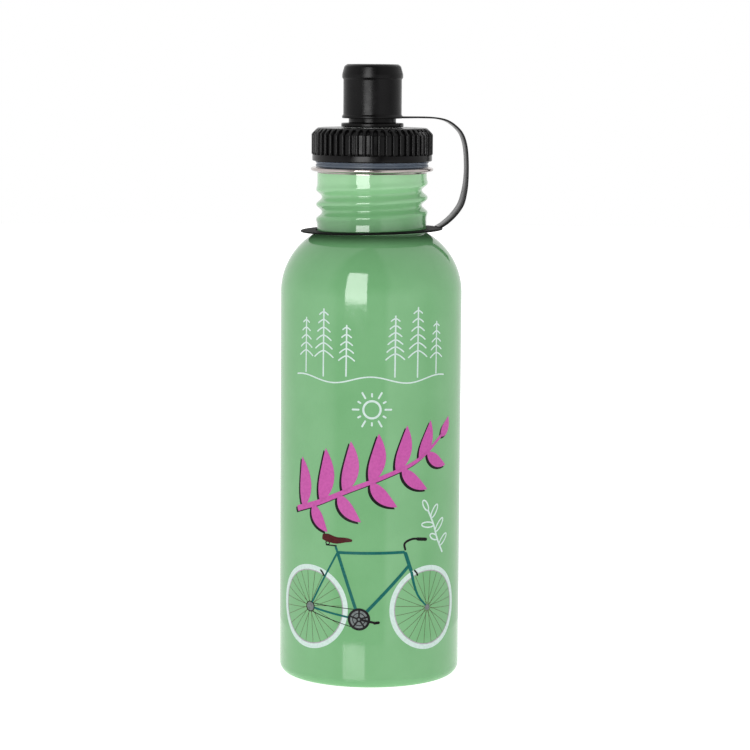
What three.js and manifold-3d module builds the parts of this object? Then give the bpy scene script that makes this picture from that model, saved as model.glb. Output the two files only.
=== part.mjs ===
// A reusable steel water bottle for a bicycle cage: a thin painted shell with a thread pressed into its
// neck, a ribbed cap that screws down inside that neck, a push-pull drinking nozzle, and a dust cover that
// a flexible strap ties to a loose ring round the neck. Millimetres, +Z up, origin at the middle of the
// base. A name ending in _Z is a height above the surface that the bottle stands on, and a name ending in
// _R is a radius from the bottle's axis.
import * as THREE from "three";
import { mergeVertices } from "three/addons/utils/BufferGeometryUtils.js";
import Module from "manifold-3d";

const wasm = await Module();
wasm.setup();

// ---- Driving dimensions: the steel bottle
const BODY_R = 36.5; // a 73 mm body, the standard size of a bicycle bottle cage
const WALL = 0.6;
const BASE_EDGE_R = 4.2; // radius of the rounded bottom edge
const FOOT_R = 30.0; // inner edge of the flat ring that the bottle stands on
const SHOULDER_Z = 155.3; // top of the straight wall
const SHOULDER_ARC = 27.4; // radius of the rounded shoulder
const NECK_R = 22.0;
const LIP_Z = 205.6;
const LIP_ROLL = { across: 1.3, up: 0.85 }; // half the width and half the height of the rolled lip

// The thread is a right-handed helix that starts and ends at the back of the neck.
const THREAD_LEAD = 6.0;
const THREAD_START = Math.PI / 2;
const THREAD_FADE = 0.12; // share of a turn over which the thread fades out at each end
const GROOVE = { lowZ: 186.0, turns: 2, depth: 1.9, halfWidth: 2.8 }; // pressed into the neck
const CREST = { away: 3.0, height: 0.4, spread: 1.2 }; // the metal raised on both sides of it
const RIDGE = { lowZ: 189.0, turns: 1.5, height: 1.8, halfBase: 1.6, halfCrest: 0.8 }; // on the cap's plug

// ---- Driving dimensions: the cap
const CAP_R = 24.35;
const CAP_LOW_Z = 208.0;
const CAP_TOP_Z = 221.3;
const CAP_CHAMFER = 2.6;
const CAP_PLATE = 2.6; // thickness of the cap's top
const CAP_SKIRT = 1.75; // thickness of its side
const BAND_TOP_Z = 210.7; // the plain band below the ribs
const RIBS = 50;
const RIB_DEPTH = 1.25;
const PLUG_R = 19.0;
const PLUG_BORE_R = 16.9;
const PLUG_LOW_Z = 187.4;

// ---- Driving dimensions: the spout, the nozzle and the dust cover
const SPOUT_LOW_Z = 213.0;
const SPOUT_BARREL_R = 7.8;
const SPOUT_FLANGE_R = 12.5;
const LAND_R = 10.35; // the land that the dust cover fits over
const LAND_TOP_Z = 229.4;
const TUBE_R = 6.2;
const TUBE_BORE_R = 4.6;
const TUBE_TOP_Z = 237.0;
const PIN_R = 2.3; // the pin that plugs the nozzle's hole
const ORING_Z = 234.2;
const NOZZLE_R = 7.4;
const NOZZLE_TOP_Z = 239.5;
const COVER_R = 11.7;
const COVER_LOW_Z = 225.1;
const COVER_TOP_Z = 246.7;

// ---- Driving dimensions: the tether
const STRAP_AZIMUTH = THREE.MathUtils.degToRad(11.5); // the strap leaves a little behind the right-hand side
const STRAP_WIDTH = 6.4;
const STRAP_THICKNESS = 0.8;
const RING_TILT = THREE.MathUtils.degToRad(1.3); // the strap's pull tips the ring
const RING_BORE_R = 22.4;
const RING_R = 28.6;
const RING_Z = 180.1; // underside of the ring at its bore

const GAP = 0.3; // between pieces that touch
const FINE = 36; // facets round the large pieces
const COARSE = 24; // facets round the small ones

// ---- Materials
const finish = (color, roughness, metalness = 0) =>
  new THREE.MeshStandardMaterial({ color, roughness, metalness });

const GREEN_PAINT = () => finish(0x7fb587, 0.2);
const BARE_STEEL = () => finish(0xb9b3ac, 0.28, 1);
const BLACK_PLASTIC = () => finish(0x1c1b1c, 0.42);
const SOFT_PLASTIC = () => finish(0x2b2a2b, 0.55);
const SEAL_SILICONE = () => finish(0x66707c, 0.35);
const CLEAR_SILICONE = () => finish(0xc9ccc8, 0.45);
const BLACK_RUBBER = () => finish(0x161616, 0.7);

// ---- Geometry helpers
// Points of an arc in the (radius, height) plane, with angles in degrees from the outward direction.
function arc(centreR, centreZ, radius, from, to, steps) {
  return Array.from({ length: steps + 1 }, (_, i) => {
    const a = THREE.MathUtils.degToRad(from + ((to - from) * i) / steps);
    return [centreR + radius * Math.cos(a), centreZ + radius * Math.sin(a)];
  });
}

// A straight upright wall with rows of points about step apart.
function wall(radius, fromZ, toZ, step) {
  const rows = Math.round(Math.abs(toZ - fromZ) / step);
  return Array.from({ length: rows + 1 }, (_, i) => [radius, fromZ + ((toZ - fromZ) * i) / rows]);
}

// Turns a profile about Z. The profile runs outwards along the bottom and then up the outside.
function turned(profile, facets = COARSE) {
  const closed = profile[0][0] === 0 ? profile : [...profile, profile[0]];
  const points = closed.map(([r, z]) => new THREE.Vector2(r, z));
  return new THREE.LatheGeometry(points, facets).rotateX(Math.PI / 2);
}

// A flat-ended ring about Z, or a plain round bar where innerR is 0.
function ringOf(innerR, outerR, lowZ, highZ, facets) {
  const corners = [
    [innerR, lowZ],
    [outerR, lowZ],
    [outerR, highZ],
    [innerR, highZ],
  ];
  return turned(corners, facets);
}

// An outline in the XZ plane, given depth on both sides of it.
function slab(points, width) {
  const shape = new THREE.Shape(points.map(([x, z]) => new THREE.Vector2(x, z)));
  const options = { depth: width, bevelEnabled: false };
  return new THREE.ExtrudeGeometry(shape, options).translate(0, 0, -width / 2).rotateX(Math.PI / 2);
}

function solid(geometry) {
  const bare = geometry.clone();
  bare.deleteAttribute("normal");
  bare.deleteAttribute("uv");
  const merged = mergeVertices(bare, 1e-4);
  const triangles = [];
  for (let i = 0; i < merged.index.count; i += 3) {
    const [a, b, c] = merged.index.array.slice(i, i + 3);
    if (a !== b && b !== c && c !== a) triangles.push(a, b, c);
  }
  const vertProperties = merged.attributes.position.array;
  const mesh = new wasm.Mesh({ numProp: 3, vertProperties, triVerts: new Uint32Array(triangles) });
  return new wasm.Manifold(mesh);
}

function geometryOf(manifold) {
  const { vertProperties, triVerts } = manifold.getMesh();
  const geometry = new THREE.BufferGeometry();
  geometry.setAttribute("position", new THREE.BufferAttribute(vertProperties, 3));
  geometry.setIndex(new THREE.BufferAttribute(triVerts, 1));
  geometry.computeVertexNormals();
  return geometry;
}

// The strongest effect that a helix's turns have on a point: effect(away) tells it from the height between
// the point and a turn, and it fades to nothing at the helix's two ends.
function helixEffect(x, y, z, { lowZ, turns }, effect) {
  const angle = (Math.atan2(y, x) - THREAD_START) / (2 * Math.PI);
  let strongest = 0;
  for (let along = angle - Math.floor(angle); along <= turns; along++) {
    const toEnd = Math.min(along, turns - along);
    const fullness = THREE.MathUtils.clamp(toEnd / THREAD_FADE, 0, 1);
    strongest = Math.max(strongest, fullness * effect(Math.abs(z - lowZ - along * THREAD_LEAD)));
  }
  return strongest;
}

// Moves each vertex away from the axis by the amount that shift(x, y, z, radius) gives.
function pushOut(geometry, shift) {
  const p = geometry.attributes.position;
  for (let i = 0; i < p.count; i++) {
    const [x, y, z] = [p.getX(i), p.getY(i), p.getZ(i)];
    const r = Math.hypot(x, y);
    const scale = 1 + shift(x, y, z, r) / r;
    p.setXY(i, x * scale, y * scale);
  }
  return geometry;
}

// ---- The steel bottle
function bottleShell() {
  const edgeR = BODY_R - BASE_EDGE_R;
  const arcR = BODY_R - SHOULDER_ARC;
  const innerNeckR = NECK_R - WALL;
  const innerArc = SHOULDER_ARC - WALL;
  // The angle at which the shoulder's arc reaches the neck.
  const neckAngle = (neckR, radius) => THREE.MathUtils.radToDeg(Math.acos((neckR - arcR) / radius));
  const lipR = NECK_R + LIP_ROLL.across;
  const lipZ = LIP_Z - LIP_ROLL.up;
  const flatness = LIP_ROLL.up / LIP_ROLL.across;
  const reach = CREST.away + 1.7 * CREST.spread;
  const fromZ = GROOVE.lowZ - reach;
  const toZ = GROOVE.lowZ + GROOVE.turns * THREAD_LEAD + reach;
  const row = 1.1;
  const outside = [
    ...arc(edgeR, BASE_EDGE_R, BASE_EDGE_R, -90, 0, 4),
    ...arc(arcR, SHOULDER_Z, SHOULDER_ARC, 0, neckAngle(NECK_R, SHOULDER_ARC), 7),
    ...wall(NECK_R, fromZ, toZ, row),
    [NECK_R, lipZ - LIP_ROLL.up],
    ...arc(lipR, lipZ, LIP_ROLL.across, -60, 90, 5).map(([r, z]) => [r, lipZ + (z - lipZ) * flatness]),
  ];
  const inside = [
    [innerNeckR, lipZ],
    ...wall(innerNeckR, toZ, fromZ, row),
    ...arc(arcR, SHOULDER_Z, innerArc, neckAngle(innerNeckR, innerArc), 0, 7),
    ...arc(edgeR, BASE_EDGE_R, BASE_EDGE_R - WALL, 0, -90, 4),
  ];
  const profile = [[FOOT_R, 0], ...outside, ...inside, [FOOT_R, WALL]];
  const plain = turned(profile, FINE);
  const onNeck = (z, r) => r > innerNeckR - 0.1 && r < NECK_R + 0.1 && z > fromZ - 0.1 && z < toZ + 0.1;
  return pushOut(plain, (x, y, z, r) => {
    if (!onNeck(z, r)) return 0;
    const swell = (away) => Math.cos((Math.PI / 2) * Math.min(away / GROOVE.halfWidth, 1)) ** 2;
    const crest = (away) => Math.exp(-(((away - CREST.away) / CREST.spread) ** 2));
    const [deep, raised] = [swell, crest].map((effect) => helixEffect(x, y, z, GROOVE, effect));
    return CREST.height * raised - GROOVE.depth * deep;
  });
}

// The dished bottom disc, welded to the inner edge of the foot.
function basePan() {
  const rimR = FOOT_R - GAP;
  const under = [
    [0, 3.6],
    [20, 3.2],
    [26.5, 2.2],
    [28.4, 0.9],
    [rimR, 0.1],
  ];
  const over = [
    [rimR, WALL],
    [28.9, 1.4],
    [26.8, 2.8],
    [20, 3.8],
    [0, 4.2],
  ];
  return turned([...under, ...over], FINE);
}

// ---- The screw cap
// Soft ring that the cap squeezes onto the lip.
const capSeal = () => ringOf(PLUG_R + 0.4, 22.7, LIP_Z + 0.05, CAP_LOW_Z - 0.05, FINE);

// Hollow plug whose thread runs in the neck, and whose flange backs the seal.
function capPlug() {
  const threadTopZ = RIDGE.lowZ + RIDGE.turns * THREAD_LEAD + RIDGE.halfBase;
  const flangeR = CAP_R - CAP_SKIRT - GAP;
  const flangeTopZ = CAP_LOW_Z + 1.6;
  const topZ = CAP_TOP_Z - CAP_PLATE - GAP;
  const plain = turned(
    [
      [PLUG_BORE_R, PLUG_LOW_Z],
      ...wall(PLUG_R, PLUG_LOW_Z, threadTopZ, 0.8),
      [PLUG_R, CAP_LOW_Z],
      [flangeR, CAP_LOW_Z],
      [flangeR, flangeTopZ],
      [PLUG_R, flangeTopZ],
      [PLUG_R, topZ],
      [PLUG_BORE_R, topZ],
    ],
    FINE,
  );
  return pushOut(plain, (x, y, z, r) => {
    if (Math.abs(r - PLUG_R) > 0.1 || z > threadTopZ + 0.1) return 0;
    const flank = (away) => (RIDGE.halfBase - away) / (RIDGE.halfBase - RIDGE.halfCrest);
    return RIDGE.height * helixEffect(x, y, z, RIDGE, (away) => THREE.MathUtils.clamp(flank(away), 0, 1));
  });
}

// The cross-section of the ribbed part: each rib is a foot, two crest corners and a foot.
function ribbedBar(lowZ, highZ) {
  const rib = [
    [0.04, CAP_R - RIB_DEPTH],
    [0.24, CAP_R],
    [0.62, CAP_R],
    [0.82, CAP_R - RIB_DEPTH],
  ];
  const outline = Array.from({ length: RIBS }, (_, i) =>
    rib.map(([share, r]) => {
      const a = ((i + share) * 2 * Math.PI) / RIBS;
      return new THREE.Vector2(r * Math.cos(a), r * Math.sin(a));
    }),
  ).flat();
  const options = { depth: highZ - lowZ, bevelEnabled: false };
  return new THREE.ExtrudeGeometry(new THREE.Shape(outline), options).translate(0, 0, lowZ);
}

const GASKET_R = 11.5;
const SPOUT_HOLE_R = SPOUT_BARREL_R + GAP;

// Ribbed shell that the hand turns, with a plain band below its ribs and a chamfer round its top.
function capGrip() {
  const lowZ = CAP_LOW_Z + 0.1;
  const plateZ = CAP_TOP_Z - CAP_PLATE;
  const above = CAP_TOP_Z + 1;
  const chamfered = turned(
    [
      [0, BAND_TOP_Z - 1],
      [CAP_R + 1, BAND_TOP_Z - 1],
      [CAP_R + 1, CAP_TOP_Z - CAP_CHAMFER - 1],
      [CAP_R - CAP_CHAMFER, CAP_TOP_Z],
      [0, CAP_TOP_Z],
    ],
    2 * FINE,
  );
  const outer = solid(ribbedBar(BAND_TOP_Z, above))
    .intersect(solid(chamfered))
    .add(solid(ringOf(0, CAP_R - 0.3, lowZ, BAND_TOP_Z + 0.2, 2 * FINE)));
  return geometryOf(
    outer
      .subtract(solid(ringOf(0, CAP_R - CAP_SKIRT, lowZ - 1, plateZ, FINE)))
      .subtract(solid(ringOf(0, SPOUT_HOLE_R, plateZ - 1, above)))
      .subtract(solid(ringOf(0, GASKET_R + GAP, CAP_TOP_Z - 0.8, above))),
  );
}

// ---- The spout and the nozzle that slides on it
const FLANGE_LOW_Z = CAP_TOP_Z + 0.4;
const FLANGE_TOP_Z = FLANGE_LOW_Z + 1.5;
const LAND_LOW_Z = LAND_TOP_Z - 2.6;
const NOZZLE_LOW_Z = LAND_TOP_Z + GAP;
const NOZZLE_ROOF = 1.9; // thickness of the nozzle's end

// The fixed tube: a barb under the cap's top, a flange over it, the cover's land, and the sealing groove.
function spoutTube() {
  const barbZ = CAP_TOP_Z - CAP_PLATE - GAP;
  const barbR = SPOUT_BARREL_R + 0.8;
  const grooveR = TUBE_R - 0.8;
  const stemR = 9.5;
  return turned([
    [TUBE_BORE_R, SPOUT_LOW_Z],
    [SPOUT_BARREL_R - 0.8, SPOUT_LOW_Z],
    [SPOUT_BARREL_R, barbZ - 2.2],
    [barbR, barbZ - 1],
    [barbR, barbZ],
    [SPOUT_BARREL_R, barbZ],
    [SPOUT_BARREL_R, FLANGE_LOW_Z],
    [SPOUT_FLANGE_R, FLANGE_LOW_Z],
    [SPOUT_FLANGE_R, FLANGE_TOP_Z],
    [stemR, FLANGE_TOP_Z],
    [stemR, LAND_LOW_Z - 0.6],
    [LAND_R, LAND_LOW_Z],
    [LAND_R, LAND_TOP_Z - 0.5],
    [LAND_R - 0.5, LAND_TOP_Z],
    [TUBE_R, LAND_TOP_Z],
    [TUBE_R, ORING_Z - 0.8],
    [grooveR, ORING_Z - 0.8],
    [grooveR, ORING_Z + 0.8],
    [TUBE_R, ORING_Z + 0.8],
    [TUBE_R, TUBE_TOP_Z],
    [TUBE_BORE_R, TUBE_TOP_Z],
  ]);
}

// The spout with its plugging pin, which three spokes hold in the middle of the bore.
function spout() {
  const [spokeLowZ, spokeHeight] = [219.0, 3.0];
  const pinTopZ = NOZZLE_TOP_Z - GAP;
  const pin = turned(
    [
      [0, spokeLowZ],
      [PIN_R, spokeLowZ],
      [PIN_R, pinTopZ - 0.6],
      [PIN_R - 0.5, pinTopZ],
      [0, pinTopZ],
    ],
    16,
  );
  const spokes = [0, 1, 2].map((i) =>
    new THREE.BoxGeometry(4.4, 1.4, spokeHeight)
      .translate(3.2, 0, spokeLowZ + spokeHeight / 2)
      .rotateZ((i * 2 * Math.PI) / 3),
  );
  return geometryOf([pin, ...spokes].reduce((body, part) => body.add(solid(part)), solid(spoutTube())));
}

// Flat ring in the recess of the cap's top, under the spout's flange.
const spoutGasket = () =>
  ringOf(SPOUT_HOLE_R + 0.3, GASKET_R, CAP_TOP_Z - 0.7, FLANGE_LOW_Z - 0.1);

// Ring in the tube's groove, which drags on the nozzle's bore and keeps it dry.
const nozzleOring = () => turned(arc(TUBE_R - 0.3, ORING_Z, 0.45, -180, 120, 5));

// The sliding nozzle: a collar to pull it by, a bore for the tube, and the hole that the pin plugs.
function nozzle() {
  const boreR = TUBE_R + GAP;
  const collarR = 9.6;
  const holeR = PIN_R + GAP;
  return turned([
    [boreR, NOZZLE_LOW_Z],
    [collarR, NOZZLE_LOW_Z],
    [collarR, NOZZLE_LOW_Z + 1.3],
    [NOZZLE_R, NOZZLE_LOW_Z + 1.8],
    [NOZZLE_R, NOZZLE_TOP_Z],
    [holeR, NOZZLE_TOP_Z],
    [holeR, NOZZLE_TOP_Z - NOZZLE_ROOF],
    [boreR, NOZZLE_TOP_Z - NOZZLE_ROOF],
  ]);
}

// Soft sleeve over the nozzle, for the lips and teeth.
function mouthpieceSleeve() {
  const boreR = NOZZLE_R + 0.2;
  const holeR = PIN_R + 1.2;
  const lowZ = NOZZLE_LOW_Z + 2.3;
  const roofZ = NOZZLE_TOP_Z + 0.2;
  return turned([
    [boreR, lowZ],
    [9.0, lowZ],
    [9.0, lowZ + 1.0],
    [8.4, lowZ + 1.8],
    [8.4, roofZ - 1.6],
    [8.8, roofZ - 0.8],
    [8.2, roofZ + 0.4],
    [7.4, roofZ + 0.7],
    [holeR, roofZ + 0.7],
    [holeR, roofZ],
    [boreR, roofZ],
  ]);
}

// ---- The dust cover, its strap and the neck ring, with the strap in the XZ plane
const TAB_END = 14.6; // where the cover's tab meets the strap, measured from the axis
const RING_TAB = { x: 29.27, z: 182.4, slope: THREE.MathUtils.degToRad(40) }; // and the ring's tab

function dustCover() {
  const boreR = COVER_R - 1.0;
  const rimR = COVER_R + 0.5;
  const beadZ = 242.0;
  const roofZ = COVER_TOP_Z - 1.4;
  const cup = turned(
    [
      [boreR, COVER_LOW_Z],
      [rimR, COVER_LOW_Z],
      [rimR, COVER_LOW_Z + STRAP_THICKNESS],
      [COVER_R, COVER_LOW_Z + 1.6],
      [COVER_R, beadZ - 1.8],
      [COVER_R + 0.5, beadZ - 0.6],
      [COVER_R + 0.5, beadZ + 0.5],
      [COVER_R - 0.3, COVER_TOP_Z - 1.2],
      [COVER_R - 1.4, COVER_TOP_Z - 0.2],
      [0, COVER_TOP_Z],
      [0, roofZ],
      [boreR - 1.0, roofZ - 0.2],
      [boreR, roofZ - 1.2],
    ],
    32,
  );
  const tab = slab(
    [
      [rimR - 1, COVER_LOW_Z],
      [TAB_END, COVER_LOW_Z],
      [TAB_END, COVER_LOW_Z + STRAP_THICKNESS],
      [rimR - 1, COVER_LOW_Z + STRAP_THICKNESS],
    ],
    STRAP_WIDTH,
  );
  return geometryOf(solid(cup).add(solid(tab)));
}

// The strap's middle line, as [distance from the axis, height], from the cover down to the ring.
const STRAP_ROUTE = [
  [TAB_END + GAP, COVER_LOW_Z + STRAP_THICKNESS / 2],
  [20.0, 225.5],
  [26.1, 225.2],
  [30.3, 224.2],
  [33.8, 222.0],
  [36.5, 219.0],
  [38.15, 214.4],
  [38.85, 207.1],
  [38.7, 200.0],
  [38.0, 195.1],
  [36.6, 190.4],
  [33.4, 186.0],
  [RING_TAB.x + GAP * Math.cos(RING_TAB.slope), RING_TAB.z + GAP * Math.sin(RING_TAB.slope)],
];

function tetherStrap() {
  const route = new THREE.SplineCurve(STRAP_ROUTE.map(([x, z]) => new THREE.Vector2(x, z)));
  const steps = 48;
  const side = (offset) =>
    Array.from({ length: steps + 1 }, (_, i) => {
      const point = route.getPointAt(i / steps);
      const along = route.getTangentAt(i / steps);
      return [point.x - along.y * offset, point.y + along.x * offset];
    });
  const half = STRAP_THICKNESS / 2;
  return slab([...side(-half), ...side(half).reverse()], STRAP_WIDTH);
}

// Loose flat ring, tipped a little, with a tab that rises to meet the strap.
function neckRing() {
  const ring = turned(
    [
      [RING_BORE_R, 0],
      [RING_R - 0.3, 0],
      [RING_R, 0.2],
      [RING_R, 0.4],
      [RING_R - 0.3, 0.6],
      [RING_BORE_R, 0.75],
    ],
    FINE,
  )
    .rotateY(-RING_TILT)
    .translate(0, 0, RING_Z);
  const { x, z, slope } = RING_TAB;
  const [acrossX, acrossZ] = [Math.sin(slope), Math.cos(slope)].map((part) => (part * STRAP_THICKNESS) / 2);
  const tab = slab(
    [
      [26.3, 180.95],
      [27.9, 180.95],
      [x + acrossX, z - acrossZ],
      [x - acrossX, z + acrossZ],
      [26.5, 181.25],
    ],
    STRAP_WIDTH,
  );
  return geometryOf(solid(ring).add(solid(tab)));
}

// ---- The assembly
function piece(name, geometry, material) {
  const mesh = new THREE.Mesh(geometry, material);
  mesh.name = name;
  return mesh;
}

const bottle = new THREE.Group();
bottle.add(piece("bottle_shell", bottleShell(), GREEN_PAINT()));
bottle.add(piece("base_pan", basePan(), BARE_STEEL()));

const cap = new THREE.Group();
cap.add(piece("cap_seal", capSeal(), SEAL_SILICONE()));
cap.add(piece("cap_plug", capPlug(), BLACK_PLASTIC()));
cap.add(piece("cap_grip", capGrip(), BLACK_PLASTIC()));
cap.add(piece("spout", spout(), BLACK_PLASTIC()));
cap.add(piece("spout_gasket", spoutGasket(), CLEAR_SILICONE()));
cap.add(piece("nozzle_oring", nozzleOring(), BLACK_RUBBER()));
cap.add(piece("nozzle", nozzle(), BLACK_PLASTIC()));
cap.add(piece("mouthpiece_sleeve", mouthpieceSleeve(), CLEAR_SILICONE()));

const tether = new THREE.Group();
tether.rotation.z = STRAP_AZIMUTH;
tether.add(piece("dust_cover", dustCover(), BLACK_PLASTIC()));
tether.add(piece("tether_strap", tetherStrap(), SOFT_PLASTIC()));
tether.add(piece("neck_ring", neckRing(), SOFT_PLASTIC()));

const group = new THREE.Group();
group.add(bottle, cap, tether);

export default group;
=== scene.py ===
"""A steel bicycle bottle with a screw cap, a push-pull nozzle and a tethered dust cover: its looks, built
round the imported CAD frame. Lengths here are in millimetres and go through MM into Blender's metres.
The printed front faces -Y, and a place on it is (u, z): the arc length round the body from the middle of
the front, positive towards +X, and the height."""
import math

import bmesh
import bpy
import numpy as np
from mathutils import Matrix, Vector


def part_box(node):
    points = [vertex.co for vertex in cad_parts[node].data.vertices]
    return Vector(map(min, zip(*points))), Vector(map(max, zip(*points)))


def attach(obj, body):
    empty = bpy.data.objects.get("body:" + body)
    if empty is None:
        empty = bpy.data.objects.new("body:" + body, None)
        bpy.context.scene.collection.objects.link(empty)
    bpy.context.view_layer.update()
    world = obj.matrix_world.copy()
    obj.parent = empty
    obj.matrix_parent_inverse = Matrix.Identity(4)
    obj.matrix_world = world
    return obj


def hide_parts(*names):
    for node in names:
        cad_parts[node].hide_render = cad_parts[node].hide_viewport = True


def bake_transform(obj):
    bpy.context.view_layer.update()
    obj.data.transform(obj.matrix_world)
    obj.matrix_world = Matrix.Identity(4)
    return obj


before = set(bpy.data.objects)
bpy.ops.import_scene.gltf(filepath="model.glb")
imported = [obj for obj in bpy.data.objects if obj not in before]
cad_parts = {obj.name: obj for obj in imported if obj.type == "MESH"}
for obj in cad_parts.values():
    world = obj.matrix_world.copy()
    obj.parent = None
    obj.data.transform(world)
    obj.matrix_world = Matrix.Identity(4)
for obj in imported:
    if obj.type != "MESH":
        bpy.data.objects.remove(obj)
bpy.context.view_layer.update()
MM = 0.001


# ---- Sizes: the frame's where it gives them, and otherwise the CAD source's own or finer detail's
def widest(node):
    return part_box(node)[1].x / MM


def heights(node):
    return [corner.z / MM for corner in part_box(node)]


BODY_R = widest("bottle_shell")
LIP_Z = heights("bottle_shell")[1]
SEAL_R = widest("cap_seal")
SEAL_LOW_Z, SEAL_TOP_Z = heights("cap_seal")
GRIP_R = widest("cap_grip")
GRIP_LOW_Z, GRIP_TOP_Z = heights("cap_grip")
PLUG_LOW_Z, PLUG_TOP_Z = heights("cap_plug")
SPOUT_LOW_Z, PIN_TOP_Z = heights("spout")
GASKET_R = widest("spout_gasket")
GASKET_LOW_Z, GASKET_TOP_Z = heights("spout_gasket")
ORING_Z = sum(heights("nozzle_oring")) / 2
NOZZLE_LOW_Z, NOZZLE_TOP_Z = heights("nozzle")
SLEEVE_LOW_Z, SLEEVE_TOP_Z = heights("mouthpiece_sleeve")
COVER_LOW_Z, COVER_TOP_Z = heights("dust_cover")

STEEL_WALL = 0.6
PAINT = 0.12  # how deep the enamel's own solid goes
BASE_EDGE_R = 4.2
FOOT_R = 30.0
SHOULDER_Z = 155.3
SHOULDER_ARC = 27.4
NECK_R = 22.0
NECK_LOW_Z, NECK_TOP_Z = 180.9, 203.1  # the neck is straight between these
BARE_BAND = 0.65  # the steel that the enamel leaves bare under the lip
LIP_ACROSS, LIP_UP = 1.3, 0.85  # half the width and half the height of the rolled lip

THREAD_LEAD = 6.0
THREAD_START = math.pi / 2
THREAD_FADE = 0.12
GROOVE = {"low_z": 186.0, "turns": 2.0}
GROOVE_DEPTH, GROOVE_HALF_WIDTH = 1.9, 2.8
CREST_AWAY, CREST_RISE, CREST_SPREAD = 3.0, 0.4, 1.2  # the metal raised on both sides of the groove
RIDGE = {"low_z": 189.0, "turns": 1.5}
RIDGE_HEIGHT, RIDGE_HALF_BASE, RIDGE_HALF_CREST = 1.8, 1.6, 0.8

RIBS = 50
RIB_PHASE = 0.43  # where the first rib stands, as a share of the spacing
RIB_CROWN, RIB_HALF = 0.12, 0.14  # a rib's height in the middle, and half its width as a share
FLUTE_DEPTH = 1.25
FLUTE_TOP_Z = 221.1
CAP_CHAMFER = 2.6
BAND_TOP_Z = 210.7
PLUG_R, PLUG_BORE_R = 19.0, 16.9
NECK_PAINTED_LIGHT_Z = 180.0  # from here up to the lip the enamel is painted paler: a painted highlight for the brighter light on the upper neck

LAND_R, LAND_TOP_Z = 10.35, 229.4
TUBE_R, TUBE_BORE_R, TUBE_TOP_Z = 6.2, 4.6, 237.0
SPOUT_BARREL_R, SPOUT_FLANGE_R = 7.8, 12.5
PIN_R = 2.3
NOZZLE_R = 7.4
COVER_R = 11.7
COVER_WALL = 1.0
COVER_BEAD_Z = 242.0

STRAP_AZIMUTH = math.radians(11.5)
STRAP_WIDTH, STRAP_THICKNESS = 6.4, 0.8
STRAP_EDGE = 0.28  # the radius of its long edges
COVER_TAB = 7.0  # the length over which it widens towards the cover
RING_TAB_START, RING_TAB_FULL = 29.0, 10.0  # how far from the ring it starts to widen, and has widened
RING_TILT = math.radians(1.3)
RING_BORE_R, RING_R, RING_Z = 22.4, 28.6, 180.1


# ---- Materials: each is procedural, in the object's own metres
def srgb(red, green, blue):
    """A colour given as a screen shows it, from 0 to 255, as the linear one that shaders use."""
    parts = [c / 255 for c in (red, green, blue)]
    return (*[c / 12.92 if c <= 0.04045 else ((c + 0.055) / 1.055) ** 2.4 for c in parts], 1.0)


class Nodes:
    """Node patterns for materials and surroundings. A value is a number, a colour or a node's output."""

    def __init__(self, tree):
        self.nodes = tree.nodes
        self.links = tree.links

    def give(self, value, socket):
        if isinstance(value, bpy.types.NodeSocket):
            self.links.new(value, socket)
        else:
            socket.default_value = value

    def math(self, operation, *values):
        node = self.nodes.new("ShaderNodeMath")
        node.operation = operation
        for value, socket in zip(values, node.inputs):
            self.give(value, socket)
        return node.outputs[0]

    def source(self, kind, output):
        return self.nodes.new("ShaderNode" + kind).outputs[output]

    def xyz(self, vector):
        node = self.nodes.new("ShaderNodeSeparateXYZ")
        self.links.new(vector, node.inputs[0])
        return node.outputs

    def span(self, value, low, high, first=0.0, second=1.0, curve="LINEAR"):
        """Goes from first to second as value goes from low to high, and no further."""
        node = self.nodes.new("ShaderNodeMapRange")
        node.interpolation_type = curve
        for name, setting in {"From Min": low, "From Max": high, "To Min": first, "To Max": second}.items():
            node.inputs[name].default_value = setting
        self.links.new(value, node.inputs["Value"])
        return node.outputs[0]

    def ramp(self, value, stops):
        """A colour for each (value, colour) stop, blended between them."""
        node = self.nodes.new("ShaderNodeValToRGB")
        elements = node.color_ramp.elements
        while len(elements) < len(stops):
            elements.new(0.5)
        for element, (at, color) in zip(elements, stops):
            element.position = at
            element.color = color
        self.links.new(value, node.inputs[0])
        return node.outputs[0]

    def mix(self, factor, first, second):
        node = self.nodes.new("ShaderNodeMixRGB")
        for value, socket in zip((factor, first, second), node.inputs):
            self.give(value, socket)
        return node.outputs[0]


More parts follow.
